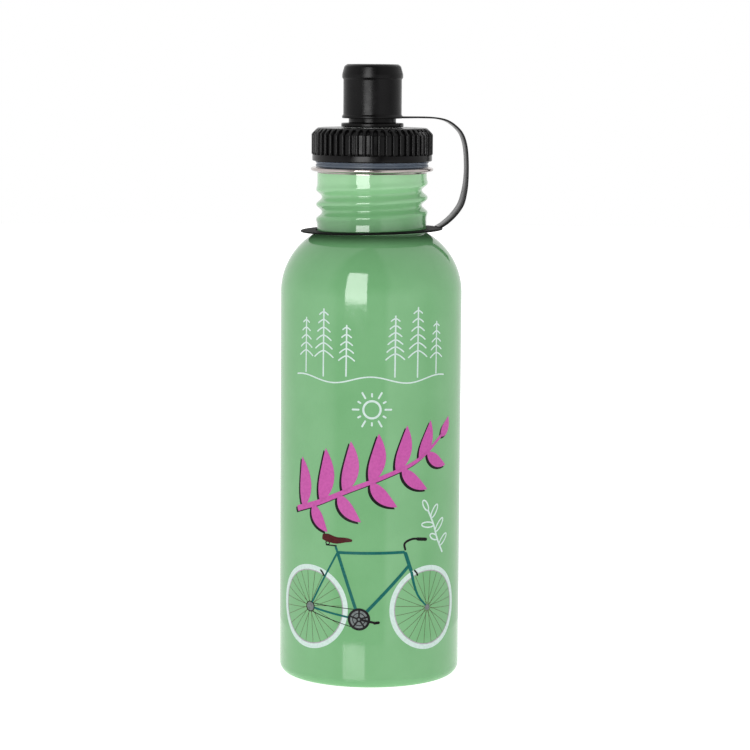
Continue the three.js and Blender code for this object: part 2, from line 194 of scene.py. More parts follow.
class Shader(Nodes):
    """A principled material. Its patterns are in the object's own metres."""

    def __init__(self, name, color, roughness, **constants):
        self.material = bpy.data.materials.new(name)
        self.material.use_nodes = True
        super().__init__(self.material.node_tree)
        self.surface = self.nodes["Principled BSDF"].inputs
        self.surface["Base Color"].default_value = color
        self.surface["Roughness"].default_value = roughness
        for socket, value in constants.items():
            self.surface[socket.replace("_", " ")].default_value = value
        self.place = self.source("TexCoord", "Object")

    def noise(self, size_mm, detail, vector=None):
        node = self.nodes.new("ShaderNodeTexNoise")
        node.inputs["Scale"].default_value = 1 / (size_mm * MM)
        node.inputs["Detail"].default_value = detail
        self.links.new(vector or self.place, node.inputs["Vector"])
        return node.outputs["Fac"]

    def turned_place(self):
        """(radius, 0, height): a pattern on it is the same all the way round, as a lathe leaves it."""
        x, y, z = self.xyz(self.place)
        squares = [self.math("MULTIPLY", side, side) for side in (x, y)]
        join = self.nodes.new("ShaderNodeCombineXYZ")
        self.links.new(self.math("SQRT", self.math("ADD", *squares)), join.inputs[0])
        self.links.new(z, join.inputs[2])
        return join.outputs[0]

    def color_between(self, factor, first, second, low=0.35, high=0.65):
        """The base colour goes from first to second as factor goes from low to high."""
        self.links.new(self.ramp(factor, [(low, first), (high, second)]), self.surface["Base Color"])

    def paler_above(self, from_z, to_z, color):
        """The base colour turns to another one between two heights."""
        share = self.span(self.xyz(self.place)[2], from_z * MM, to_z * MM, curve="SMOOTHSTEP")
        below = self.surface["Base Color"].links[0].from_socket
        self.links.new(self.mix(share, below, color), self.surface["Base Color"])

    def roughness_between(self, factor, first, second):
        self.links.new(self.span(factor, 0.3, 0.7, first, second), self.surface["Roughness"])

    def bump(self, height, depth_mm, strength=1.0):
        node = self.nodes.new("ShaderNodeBump")
        node.inputs["Distance"].default_value = depth_mm * MM
        node.inputs["Strength"].default_value = strength
        self.links.new(height, node.inputs["Height"])
        self.links.new(node.outputs[0], self.surface["Normal"])
        return self.material


def enamel():
    """Glossy green enamel: a faint mottle, the soft ripple of sprayed and baked paint, and a neck painted
    paler towards the lip, a painted highlight for the brighter light that falls there."""
    shader = Shader("green_enamel", srgb(111, 170, 116), 0.06)
    shader.color_between(shader.noise(14, 3), srgb(113, 172, 117), srgb(118, 176, 122))
    # painted highlight: the neck's enamel turns paler towards the lip to stand in for the brighter light
    # there
    shader.paler_above(NECK_PAINTED_LIGHT_Z, LIP_Z, srgb(156, 208, 158))
    shader.roughness_between(shader.noise(2.5, 3), 0.04, 0.09)
    return shader.bump(shader.noise(1.6, 1), 0.0015)


def steel(name, tone, roughness):
    """Bare stainless steel with the fine rings that spinning and polishing leave."""
    shader = Shader(name, tone, roughness, Metallic=1.0)
    rings = shader.noise(0.35, 3, shader.turned_place())
    darker = (tone[0] * 0.86, tone[1] * 0.86, tone[2] * 0.87, 1)
    shader.color_between(rings, darker, tone)
    shader.roughness_between(shader.noise(3, 4), roughness - 0.05, roughness + 0.08)
    return shader.bump(rings, 0.006, 0.6)


def grained(name, color, lighter, roughness, grain_mm=0.35, grain_depth=0.008, shine=0.14, metallic=0.0):
    """A fine grain and slow changes of gloss, as on moulded plastic that cooled unevenly."""
    shader = Shader(name, color, roughness, Specular_IOR_Level=shine, Metallic=metallic)
    shader.color_between(shader.noise(5, 3), color, lighter)
    shader.roughness_between(shader.noise(3, 3), roughness - 0.05, roughness + 0.07)
    return shader.bump(shader.noise(grain_mm, 2), grain_depth)


def silicone(name, color, lighter, roughness, depth_mm):
    """Rubbery silicone that lets light a little way in."""
    shader = Shader(name, color, roughness, Subsurface_Weight=0.5, IOR=1.41)
    shader.surface["Subsurface Radius"].default_value = (1, 1, 1)
    shader.surface["Subsurface Scale"].default_value = depth_mm * MM
    shader.color_between(shader.noise(4, 2), color, lighter)
    shader.roughness_between(shader.noise(1.2, 3), roughness - 0.06, roughness + 0.08)
    return shader.bump(shader.noise(0.5, 2), 0.006)


def ink(name, color, worn):
    """Screen-printed ink: a thin satin film, slightly uneven where the mesh laid it down."""
    shader = Shader(name, color, 0.3, Specular_IOR_Level=0.16)
    shader.color_between(shader.noise(0.9, 3), worn, color, 0.3, 0.6)
    shader.roughness_between(shader.noise(0.6, 2), 0.26, 0.4)
    return shader.bump(shader.noise(0.4, 2), 0.004)


GREEN_ENAMEL = enamel()
LIP_STEEL = steel("polished_steel", srgb(186, 177, 173), 0.16)
BASE_STEEL = steel("brushed_steel", srgb(178, 174, 170), 0.34)
WELD_STEEL = grained("weld_bead_steel", srgb(120, 112, 106), srgb(150, 142, 134), 0.4, 0.6, 0.04, 0.5, 1.0)
CAP_BLACK = grained("black_cap_plastic", srgb(9, 8, 9), srgb(13, 12, 13), 0.23, shine=0.15)
COVER_BLACK = grained("black_cover_plastic", srgb(8, 7, 8), srgb(13, 12, 13), 0.27, shine=0.13)
STRAP_BLACK = grained("soft_strap_plastic", srgb(9, 8, 9), srgb(13, 12, 13), 0.25, 0.8, 0.004, 0.26)
RING_BLACK = grained("soft_ring_plastic", srgb(6, 5, 6), srgb(11, 10, 11), 0.6, 0.8, 0.006, 0.05)
NOZZLE_GREY = grained("nozzle_plastic", srgb(44, 44, 46), srgb(52, 52, 54), 0.4)
PLUG_BLACK = grained("plug_plastic", srgb(30, 30, 31), srgb(38, 38, 39), 0.45)
SEAL_GREY = silicone("seal_silicone", srgb(86, 98, 112), srgb(96, 106, 119), 0.34, 0.8)
MILKY = silicone("milky_silicone", srgb(206, 210, 207), srgb(220, 223, 220), 0.42, 2.0)
ORING_BLACK = grained("oring_rubber", srgb(20, 20, 20), srgb(27, 27, 27), 0.6, 0.25, 0.006)

INK_WHITE = ink("white_ink", srgb(209, 227, 221), srgb(195, 217, 209))
INK_PINK = ink("pink_ink", srgb(197, 88, 166), srgb(185, 80, 156))
INK_BLACK = ink("black_ink", srgb(9, 6, 8), srgb(20, 15, 17))
INK_TEAL = ink("teal_ink", srgb(6, 94, 88), srgb(14, 106, 98))
INK_BROWN = ink("brown_ink", srgb(66, 10, 12), srgb(84, 18, 18))
INK_GREY = ink("grey_ink", srgb(120, 126, 126), srgb(96, 104, 104))
INK_SHADE = ink("tyre_shade_ink", srgb(176, 170, 178), srgb(160, 150, 160))


# ---- Mesh tools
SHARP_EDGE = math.radians(38)


def around(centre, radius, angle):
    """The place at this distance and in this direction from a centre."""
    return centre[0] + radius * math.cos(angle), centre[1] + radius * math.sin(angle)


def scene_object(name, data):
    """A new object, linked into the scene."""
    thing = bpy.data.objects.new(name, data)
    bpy.context.scene.collection.objects.link(thing)
    return thing


def mesh_object(name, points_mm, faces, material):
    mesh = bpy.data.meshes.new(name)
    mesh.from_pydata((np.asarray(points_mm, float) * MM).tolist(), [], faces)
    mesh.materials.append(material)
    return scene_object(name, mesh)


def add_piece(name, points_mm, faces, material, slot, body=None, stands_for=()):
    """One closed mesh object, with its faces turned outwards and its sharp edges kept."""
    piece = mesh_object(name, points_mm, faces, material)
    outwards = bmesh.new()
    outwards.from_mesh(piece.data)
    bmesh.ops.recalc_face_normals(outwards, faces=outwards.faces)
    outwards.to_mesh(piece.data)
    outwards.free()
    piece.data.shade_smooth()
    piece.data.set_sharp_from_angle(angle=SHARP_EDGE)
    if body:
        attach(piece, body)
    if stands_for:
        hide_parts(*stands_for)
    return piece


def ring_faces(rings, count, closed):
    """Quads between rings of count points each; closed also joins the last ring to the first."""
    faces = []
    for i in range(rings if closed else rings - 1):
        here, there = i * count, (i + 1) % rings * count
        for j in range(count):
            k = (j + 1) % count
            faces.append((here + j, here + k, there + k, there + j))
    return faces


def filleted(profile, closed):
    """Corners given as (r, z) stay sharp, and those given as (r, z, radius) are rounded."""
    points = []
    for i, corner in enumerate(profile):
        here = np.array(corner[:2], float)
        is_end = not closed and i in (0, len(profile) - 1)
        if len(corner) == 2 or is_end:
            points.append(here)
            continue
        before = np.array(profile[i - 1][:2], float) - here
        after = np.array(profile[(i + 1) % len(profile)][:2], float) - here
        room = min(np.linalg.norm(before), np.linalg.norm(after)) * 0.49
        before /= np.linalg.norm(before)
        after /= np.linalg.norm(after)
        half = math.acos(np.clip(before @ after, -1, 1)) / 2
        radius = min(corner[2], room * math.tan(half))
        reach = radius / math.tan(half)
        middle = (before + after) / np.linalg.norm(before + after) * radius / math.sin(half)
        start, end = before * reach - middle, after * reach - middle
        sweep = math.acos(np.clip(start @ end / radius**2, -1, 1))
        for t in np.linspace(0, 1, 6):
            mix = math.sin((1 - t) * sweep) * start + math.sin(t * sweep) * end
            points.append(here + middle + mix / math.sin(sweep))
    return [tuple(p) for p in points]


def arc(centre_r, centre_z, radius, start, end, steps):
    angles = np.radians(np.linspace(start, end, steps + 1))
    return [around((centre_r, centre_z), radius, a) for a in angles]


def upright(radius, from_z, to_z, step):
    count = max(2, round(abs(to_z - from_z) / step))
    return [(radius, z) for z in np.linspace(from_z, to_z, count + 1)]


def lathe(profile, segments, shift=None):
    """Turns a profile about Z. It starts and ends on the axis, or else closes on itself.
    shift(angle, height, radius) is added to each point's radius."""
    on_axis = profile[0][0] == 0
    rows = np.array(filleted(profile, closed=not on_axis))
    middle = rows[1:-1] if on_axis else rows
    angles = np.arange(segments) * 2 * math.pi / segments
    angle, radius = np.meshgrid(angles, middle[:, 0])
    height = np.repeat(middle[:, 1:], segments, axis=1)
    if shift:
        radius = radius + shift(angle, height, radius)
    points = np.stack([radius * np.cos(angle), radius * np.sin(angle), height], axis=-1).reshape(-1, 3)
    faces = ring_faces(len(middle), segments, closed=not on_axis)
    if on_axis:
        ends = np.array([[0, 0, rows[0][1]], [0, 0, rows[-1][1]]])
        low, high = len(points), len(points) + 1
        last = (len(middle) - 1) * segments
        for j in range(segments):
            k = (j + 1) % segments
            faces.append((low, k, j))
            faces.append((high, last + j, last + k))
        points = np.vstack([points, ends])
    return points, faces


def joined(meshes):
    """Several closed shapes as one mesh."""
    points, faces = [], []
    for more_points, more_faces in meshes:
        first = sum(len(p) for p in points)
        points.append(np.asarray(more_points))
        faces += [tuple(first + v for v in face) for face in more_faces]
    return np.vstack(points), faces


def united(name, shapes, *rest, **named):
    """The boolean union of overlapping shapes, as one piece."""
    pieces = [add_piece(f"{name}_{i}", *shape, *rest, **named) for i, shape in enumerate(shapes)]
    whole = pieces[0]
    for other in pieces[1:]:
        cut = whole.modifiers.new("join", "BOOLEAN")
        cut.operation = "UNION"
        cut.solver = "EXACT"
        cut.object = other
    evaluated = whole.evaluated_get(bpy.context.evaluated_depsgraph_get())
    whole.data = bpy.data.meshes.new_from_object(evaluated)
    whole.modifiers.clear()
    whole.name = name
    whole.data.set_sharp_from_angle(angle=SHARP_EDGE)
    for other in pieces[1:]:
        bpy.data.objects.remove(other)


def turned_about_z(points, angle):
    turn = np.array(Matrix.Rotation(angle, 3, "Z"))
    return np.asarray(points) @ turn.T


# ---- The helical thread
def smooth(share):
    """0 below 0, 1 above 1, and an S-shaped rise between them."""
    share = np.clip(share, 0, 1)
    return share * share * (3 - 2 * share)


def helix_effect(angle, height, helix, effect):
    """The strongest effect that a helix's turns have on a point. It fades out at the helix's two ends."""
    part = np.mod((angle - THREAD_START) / (2 * math.pi), 1.0)
    strongest = 0.0
    for turn in range(math.ceil(helix["turns"]) + 1):
        along = part + turn
        fullness = smooth(np.minimum(along, helix["turns"] - along) / THREAD_FADE)
        away = np.abs(height - helix["low_z"] - along * THREAD_LEAD)
        strongest = np.maximum(strongest, fullness * effect(away))
    return strongest


def groove_shift(angle, height, radius):
    def swell(away):
        return np.cos(math.pi / 2 * np.minimum(away / GROOVE_HALF_WIDTH, 1)) ** 2

    def crest(away):
        return np.exp(-(((away - CREST_AWAY) / CREST_SPREAD) ** 2))

    raised = CREST_RISE * helix_effect(angle, height, GROOVE, crest)
    sunk = GROOVE_DEPTH * helix_effect(angle, height, GROOVE, swell)
    on_neck = (radius > NECK_R - STEEL_WALL - 0.05) & (radius < NECK_R + 0.05) & (height > NECK_LOW_Z)
    return np.where(on_neck, raised - sunk, 0.0)


def ridge_shift(angle, height, radius):
    def flank(away):
        return smooth((RIDGE_HALF_BASE - away) / (RIDGE_HALF_BASE - RIDGE_HALF_CREST))

    rise = RIDGE_HEIGHT * helix_effect(angle, height, RIDGE, flank)
    return np.where(np.abs(radius - PLUG_R) < 0.02, rise, 0.0)


# ---- The steel bottle
SHELL_SIDES = 288


def shell_outline(depth, from_r, to_z):
    """The bottle's outline at a depth below its outer surface, from the foot up to a height."""
    edge_r = BODY_R - BASE_EDGE_R
    arc_r = BODY_R - SHOULDER_ARC
    bend = SHOULDER_ARC - depth
    neck_r = NECK_R - depth
    neck_angle = math.degrees(math.acos((neck_r - arc_r) / bend))
    return [
        (from_r, depth),
        *arc(edge_r, BASE_EDGE_R, BASE_EDGE_R - depth, -90, 0, 14),
        *upright(BODY_R - depth, BASE_EDGE_R + 4, SHOULDER_Z - 4, 12),
        *arc(arc_r, SHOULDER_Z, bend, 0, neck_angle, 30),
        *upright(neck_r, NECK_LOW_Z, NECK_TOP_Z, 0.18),
        (neck_r, to_z),
    ]


def bottle():
    paint_top = LIP_Z - 2 * LIP_UP - BARE_BAND
    flatness = LIP_UP / LIP_ACROSS
    paint_foot = FOOT_R + 1.4
    outside = shell_outline(0, paint_foot, paint_top)
    under_paint = shell_outline(PAINT, paint_foot, paint_top)
    paint = lathe([*outside, *reversed(under_paint)], SHELL_SIDES, groove_shift)
    add_piece("bottle_enamel", *paint, GREEN_ENAMEL, "green_enamel", "bottle", ["bottle_shell"])

    skin = shell_outline(PAINT + 0.02, paint_foot - 0.1, paint_top + 0.1)
    lip = arc(NECK_R + LIP_ACROSS, 0, LIP_ACROSS, -130, 110, 20)
    lip = [(radius, LIP_Z - LIP_UP + height * flatness) for radius, height in lip]
    lining = shell_outline(STEEL_WALL, FOOT_R, LIP_Z - LIP_UP)
    outline = [(FOOT_R, 0.0), (paint_foot - 0.1, 0.0), *skin, *lip, *reversed(lining)]
    wall = lathe(outline, SHELL_SIDES, groove_shift)
    add_piece("bottle_steel_wall", *wall, LIP_STEEL, "bare_steel", "bottle")


def base():
    """The dished bottom disc and the bead of weld round it."""
    rim = FOOT_R - 0.3
    under = [(0, 3.6), (19, 3.3, 20), (24.5, 2.5, 3), (26.2, 1.4, 1.5), (28.0, 0.9, 1.5), (rim, 0.35)]
    over = [(rim, 0.9), (28.2, 1.5, 1), (26.6, 2.0, 1), (24.7, 3.1, 3), (19, 3.9, 20), (0, 4.2)]
    pan = lathe([*under, *over], 160)
    add_piece("base_disc", *pan, BASE_STEEL, "bare_steel", "bottle", ["base_pan"])

    bead_z, ripple_height, ripples = 0.55, 0.05, 150

    def ripple(angle, height, radius):
        return ripple_height * np.sin(angle * ripples) * (height < bead_z)

    bead = lathe(arc(FOOT_R - 0.25, bead_z, 0.42, 0, 350, 14), 4 * ripples, ripple)
    add_piece("base_weld", *bead, WELD_STEEL, "bare_steel", "bottle")


# ---- The screw cap
def seal():
    inner = PLUG_R + 0.4
    profile = [
        (inner, SEAL_LOW_Z, 0.2),
        (SEAL_R - 0.1, SEAL_LOW_Z, 0.35),
        (SEAL_R - 0.1, SEAL_LOW_Z + 0.9, 0.2),
        (SEAL_R - 0.45, SEAL_LOW_Z + 1.2, 0.2),
        (SEAL_R - 0.45, SEAL_LOW_Z + 1.5, 0.2),
        (SEAL_R, SEAL_LOW_Z + 1.8, 0.2),
        (SEAL_R, SEAL_TOP_Z, 0.3),
        (inner, SEAL_TOP_Z, 0.2),
    ]
    add_piece("seal_ring", *lathe(profile, 160), SEAL_GREY, "seal_silicone", "seal", ["cap_seal"])


def plug():
    flange_r = widest("cap_plug")
    flange_z = GRIP_LOW_Z - 0.1
    thread_top = RIDGE["low_z"] + RIDGE["turns"] * THREAD_LEAD + 2
    profile = [
        (PLUG_BORE_R, PLUG_LOW_Z, 0.4),
        (PLUG_R - 0.01, PLUG_LOW_Z, 0.5),
        *upright(PLUG_R, PLUG_LOW_Z + 0.6, thread_top, 0.16),
        (PLUG_R, flange_z, 0.3),
        (flange_r, flange_z, 0.3),
        (flange_r, flange_z + 1.6, 0.3),
        (PLUG_R, flange_z + 1.6, 0.4),
        (PLUG_R, PLUG_TOP_Z, 0.4),
        (PLUG_BORE_R, PLUG_TOP_Z, 0.4),
    ]
    shape = lathe(profile, 240, ridge_shift)
    add_piece("threaded_plug", *shape, PLUG_BLACK, "black_plastic", "cap", ["cap_plug"])


def flute(angle, height):
    """How deep the cap's side is cut in: upright flutes with steep walls, each arched at its top, and
    narrow crowned ribs between them."""
    arch_drop, arch_half, arch_slope = 0.9, 0.34, 0.6
    share = np.mod(angle * RIBS / (2 * math.pi) - RIB_PHASE, 1.0)
    from_crest = np.minimum(share, 1 - share)
    crown = RIB_CROWN * np.minimum(from_crest / RIB_HALF, 1) ** 2
    arch_z = FLUTE_TOP_Z - arch_drop * ((0.5 - from_crest) / arch_half) ** 2
    deep = (FLUTE_DEPTH - RIB_CROWN) * smooth((from_crest - RIB_HALF) / RIB_HALF)
    return (crown + deep) * smooth((arch_z - height) / arch_slope)


def grip():
    hole_r = SPOUT_BARREL_R + 0.3
    skirt_r = GRIP_R - 1.75
    plate_z = GRIP_TOP_Z - 2.6
    recess_r = GASKET_R + 0.3
    band_r = GRIP_R - 0.3
    ledge, ledge_height = 0.12, 0.3  # the ribs' foot is set back this far, over this height
    chamfer = np.linspace(0, 1, 22)[:-1]
    profile = [
        (skirt_r, GRIP_LOW_Z, 0.3),
        (band_r - 0.25, GRIP_LOW_Z),
        (band_r, GRIP_LOW_Z + 0.25),
        (band_r, BAND_TOP_Z - 0.25),
        (band_r - 0.1, BAND_TOP_Z - 0.08),
        *[(GRIP_R + 0.001, BAND_TOP_Z + 0.02 + ledge_height * t) for t in (0, 0.33, 1)],
        *upright(GRIP_R + 0.001, BAND_TOP_Z + 1, GRIP_TOP_Z - CAP_CHAMFER - 0.6, 1.5),
        *[(GRIP_R - CAP_CHAMFER * t**1.05, GRIP_TOP_Z - CAP_CHAMFER * (1 - t) ** 1.12) for t in chamfer],
        (GRIP_R - CAP_CHAMFER - 0.5, GRIP_TOP_Z),
        (recess_r, GRIP_TOP_Z, 0.25),
        (recess_r, GASKET_LOW_Z - 0.05),
        (hole_r, GASKET_LOW_Z - 0.05),
        (hole_r, plate_z),
        (skirt_r, plate_z, 1.0),
    ]

    def ribbed(angle, height, radius):
        on_ribs = (height > BAND_TOP_Z) & (radius > GRIP_R - CAP_CHAMFER - 0.4)
        foot = ledge * (1 - np.clip((height - BAND_TOP_Z) / ledge_height, 0, 1))
        return np.where(on_ribs, -flute(angle, height) - foot, 0.0)

    shape = lathe(profile, RIBS * 20, ribbed)
    add_piece("ribbed_cap", *shape, CAP_BLACK, "black_plastic", "cap", ["cap_grip"])


# ---- The spout, the nozzle and the sleeve
def spout():
    barb_z = GRIP_TOP_Z - 2.6 - 0.3
    flange_z = GRIP_TOP_Z + 0.4
    groove_r = TUBE_R - 0.8
    stem_r, land_z = 9.5, LAND_TOP_Z - 2.6
    profile = [
        (TUBE_BORE_R, SPOUT_LOW_Z, 0.2),
        (SPOUT_BARREL_R - 0.8, SPOUT_LOW_Z, 0.3),
        (SPOUT_BARREL_R, barb_z - 2.2, 0.4),
        (SPOUT_BARREL_R + 0.8, barb_z - 1, 0.3),
        (SPOUT_BARREL_R + 0.8, barb_z, 0.15),
        (SPOUT_BARREL_R, barb_z),
        (SPOUT_BARREL_R, flange_z, 0.2),
        (SPOUT_FLANGE_R, flange_z, 0.3),
        (SPOUT_FLANGE_R, flange_z + 1.5, 0.4),
        (stem_r, flange_z + 1.5, 0.5),
        (stem_r, land_z - 0.6, 0.3),
        (LAND_R, land_z, 0.25),
        (LAND_R, LAND_TOP_Z, 0.5),
        (TUBE_R, LAND_TOP_Z, 0.3),
        (TUBE_R, ORING_Z - 0.8, 0.1),
        (groove_r, ORING_Z - 0.8, 0.15),
        (groove_r, ORING_Z + 0.8, 0.15),
        (TUBE_R, ORING_Z + 0.8, 0.1),
        (TUBE_R, TUBE_TOP_Z, 0.4),
        (TUBE_BORE_R, TUBE_TOP_Z, 0.2),
    ]
    spoke_low, spoke_high = 219.0, 222.0
    pin = lathe([(0, spoke_low), (PIN_R, spoke_low, 0.4), (PIN_R, PIN_TOP_Z, 0.6), (0, PIN_TOP_Z)], 48)
    shapes = [lathe(profile, 96), pin]
    for i in range(3):
        corners = [(x, y, z) for x in (1.2, 5.4) for y in (-0.7, 0.7) for z in (spoke_low, spoke_high)]
        faces = [(0, 1, 3, 2), (4, 6, 7, 5), (0, 4, 5, 1), (2, 3, 7, 6), (0, 2, 6, 4), (1, 5, 7, 3)]
        shapes.append((turned_about_z(corners, i * 2 * math.pi / 3), faces))
    united("spout_body", shapes, COVER_BLACK, "black_plastic", body="cap", stands_for=["spout"])


def small_rings():
    bore_r = SPOUT_BARREL_R + 0.6
    profile = [
        (bore_r, GASKET_LOW_Z, 0.2),
        (GASKET_R, GASKET_LOW_Z, 0.2),
        (GASKET_R, GASKET_TOP_Z, 0.25),
        (bore_r, GASKET_TOP_Z, 0.25),
    ]
    add_piece("spout_gasket_ring", *lathe(profile, 96), MILKY, "clear_silicone", "cap", ["spout_gasket"])
    oring = lathe(arc(TUBE_R - 0.3, ORING_Z, 0.45, 0, 340, 17), 96)
    add_piece("nozzle_seal_ring", *oring, ORING_BLACK, "black_rubber", "cap", ["nozzle_oring"])


def nozzle():
    bore_r, hole_r, collar_r = TUBE_R + 0.3, PIN_R + 0.3, widest("nozzle")
    profile = [
        (bore_r, NOZZLE_LOW_Z, 0.2),
        (collar_r, NOZZLE_LOW_Z, 0.4),
        (collar_r, NOZZLE_LOW_Z + 1.3, 0.5),
        (NOZZLE_R, NOZZLE_LOW_Z + 1.8, 0.5),
        (NOZZLE_R, NOZZLE_TOP_Z, 0.4),
        (hole_r, NOZZLE_TOP_Z, 0.3),
        (hole_r, NOZZLE_TOP_Z - 1.9, 0.2),
        (bore_r, NOZZLE_TOP_Z - 1.9, 0.3),
    ]

    def knurl(angle, height, radius):
        return np.where(radius > collar_r - 0.3, -0.07 * (1 + np.cos(angle * 36)), 0.0)

    shape = lathe(profile, 288, knurl)
    add_piece("nozzle_body", *shape, NOZZLE_GREY, "black_plastic", "nozzle", ["nozzle"])


def sleeve():
    bore_r, hole_r = NOZZLE_R + 0.2, PIN_R + 1.2
    roof_z = SLEEVE_TOP_Z - 0.7
    wall_r, rim_r = 8.4, widest("mouthpiece_sleeve")
    profile = [
        (bore_r, SLEEVE_LOW_Z, 0.1),
        (rim_r, SLEEVE_LOW_Z, 0.4),
        (rim_r, SLEEVE_LOW_Z + 1.0, 0.4),
        (wall_r, SLEEVE_LOW_Z + 1.8, 0.6),
        (wall_r, roof_z - 1.6, 0.6),
        (wall_r + 0.4, roof_z - 0.6, 0.7),
        (wall_r - 0.4, SLEEVE_TOP_Z, 0.9),
        (hole_r, SLEEVE_TOP_Z, 0.35),
        (hole_r, roof_z, 0.15),
        (bore_r, roof_z, 0.1),
    ]
    shape = lathe(profile, 128)
    add_piece("soft_mouthpiece", *shape, MILKY, "clear_silicone", "nozzle", ["mouthpiece_sleeve"])


# ---- The dust cover, its strap and the neck ring
def cover():
    bore_r, rim_r = COVER_R - COVER_WALL, COVER_R + 0.5
    roof_z = COVER_TOP_Z - 1.4
    profile = [
        (0, roof_z),
        (bore_r - 1, roof_z, 1.0),
        (bore_r, roof_z - 1.2, 0.8),
        (bore_r, COVER_LOW_Z, 0.3),
        (rim_r, COVER_LOW_Z, 0.25),
        (rim_r, COVER_LOW_Z + STRAP_THICKNESS, 0.3),
        (COVER_R, COVER_LOW_Z + 1.5, 0.6),
        (COVER_R, COVER_BEAD_Z - 1.5, 0.8),
        (rim_r, COVER_BEAD_Z - 0.75, 0.5),
        (rim_r, COVER_BEAD_Z + 0.55, 1.2),
        (COVER_R - 0.35, COVER_TOP_Z - 0.9, 1.4),
        (COVER_R - 1.5, COVER_TOP_Z - 0.12, 0.5),
        (6, COVER_TOP_Z - 0.02, 3),
        (0, COVER_TOP_Z),
    ]
    add_piece("cover_cup", *lathe(profile, 192), COVER_BLACK, "black_plastic", "cover", ["dust_cover"])


STRAP_ROUTE = [
    (COVER_R + 0.1, COVER_LOW_Z + STRAP_THICKNESS / 2),
    (14.9, COVER_LOW_Z + STRAP_THICKNESS / 2),
    *((20.0, 225.5), (26.1, 225.2), (30.3, 224.2), (33.8, 222.0), (36.5, 219.0), (38.15, 214.4)),
    *((38.85, 207.1), (38.7, 200.0), (38.0, 195.1), (36.6, 190.4), (33.4, 186.0)),
    *((29.5, 182.6), (27.2, 181.2)),
]
STRAP_JOINT = 9  # the route's point where the strap's lower and upper halves meet


def distances(path, power=1.0):
    """How far along a path each of its points is, with each step taken to a power."""
    steps = np.linalg.norm(np.diff(path, axis=0), axis=1) ** power
    return np.concatenate([[0], np.cumsum(steps)])


def spline(points, per_span):
    """A smooth curve through the points (centripetal Catmull-Rom)."""
    p = np.array(points, float)
    p = np.vstack([2 * p[0] - p[1], p, 2 * p[-1] - p[-2]])
    knots = distances(p, 0.5)
    curve = []

    def between(t, first, second, from_t, to_t):
        return ((to_t - t) * first + (t - from_t) * second) / (to_t - from_t)

    for i in range(1, len(p) - 2):
        t0, t1, t2, t3 = knots[i - 1 : i + 3]
        for t in np.linspace(t1, t2, per_span, endpoint=False):
            middle = between(t, p[i], p[i + 1], t1, t2)
            before = between(t, between(t, p[i - 1], p[i], t0, t1), middle, t0, t2)
            after = between(t, middle, between(t, p[i + 1], p[i + 2], t2, t3), t1, t3)
            curve.append(between(t, before, after, t1, t2))
    return np.array([*curve, p[-2]])


def directions(path, closed=False):
    """Unit tangents along a path."""
    if closed:
        step = np.roll(path, -1, axis=0) - np.roll(path, 1, axis=0)
    else:
        step = np.gradient(path, axis=0)
    return step / np.linalg.norm(step, axis=1)[:, None]


def strap_solid(path, widths, thicknesses):
    """A flat moulded strap along a path in the plane of the strap, with rounded edges."""
    along = directions(path)
    across = np.stack([-along[:, 1], along[:, 0]], axis=1)
    turn = np.radians([quarter + corner for quarter in (0, 90, 180, 270) for corner in (20, 45, 70)])
    cos, sin = np.cos(turn), np.sin(turn)
    points = []
    for centre, normal, width, thickness in zip(path, across, widths, thicknesses):
        sideways = np.sign(cos) * (width / 2 - STRAP_EDGE) + STRAP_EDGE * cos
        outwards = np.sign(sin) * (thickness / 2 - STRAP_EDGE) + STRAP_EDGE * sin
        for y, n in zip(sideways, outwards):
            points.append((centre[0] + normal[0] * n, y, centre[1] + normal[1] * n))
    count = len(turn)
    last = (len(path) - 1) * count
    caps = [tuple(range(count)), tuple(last + i for i in reversed(range(count)))]
    faces = ring_faces(len(path), count, closed=False) + caps
    return turned_about_z(points, STRAP_AZIMUTH), faces


def strap():
    per_span = 10
    route = spline(STRAP_ROUTE, per_span)
    length = distances(route)
    from_ring = length[-1] - length
    at_cover = np.clip(1 - length / COVER_TAB, 0, 1) ** 2
    at_ring = smooth((RING_TAB_START - from_ring) / (RING_TAB_START - RING_TAB_FULL))
    widths = STRAP_WIDTH + 1.6 * at_cover + 2.6 * at_ring
    thicknesses = STRAP_THICKNESS - 0.1 + 0.1 * at_cover + 0.25 * at_ring
    middle = STRAP_JOINT * per_span
    halves = {
        "upper": (slice(0, middle + 1), "tether", "cover"),
        "lower": (slice(middle, None), "ring", "tether"),
    }

    def place(point):
        return Vector(turned_about_z((point[0], 0, point[1]), STRAP_AZIMUTH)) * MM

    junction = place(route[middle])
    for half, (span, first, second) in halves.items():
        shape = strap_solid(route[span], widths[span], thicknesses[span])
        piece = add_piece(f"strap_{half}", *shape, STRAP_BLACK, "strap_plastic", stands_for=["tether_strap"])
        if half == "upper":
            place(STRAP_ROUTE[1])
            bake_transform(piece)
        else:
            place(STRAP_ROUTE[-2])
            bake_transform(piece)


def ring():
    profile = [
        (RING_BORE_R, 0.0, 0.3),
        (RING_R - 0.15, 0.0, 0.15),
        (RING_R, 0.3, 0.1),
        (RING_R - 0.1, 0.6, 0.15),
        (RING_BORE_R, 0.75, 0.3),
    ]
    points, faces = lathe(profile, 192)
    tilt = np.array(Matrix.Rotation(-RING_TILT, 3, "Y"))
    points = points @ tilt.T + (0, 0, RING_Z)
    points = turned_about_z(points, STRAP_AZIMUTH)
    add_piece("neck_ring_band", points, faces, RING_BLACK, "strap_plastic", "ring", ["neck_ring"])


# ---- The printed front: generic outdoor motifs and a bicycle, each a thin film of ink
INK_ROOT = 0.03  # how deep the film starts, inside the enamel


def wrapped(places, radius):
    """(u, z) places on the body as points in space."""
    angle = places[..., 0] / BODY_R
    return np.stack([radius * np.sin(angle), -radius * np.cos(angle), places[..., 1]], axis=-1)


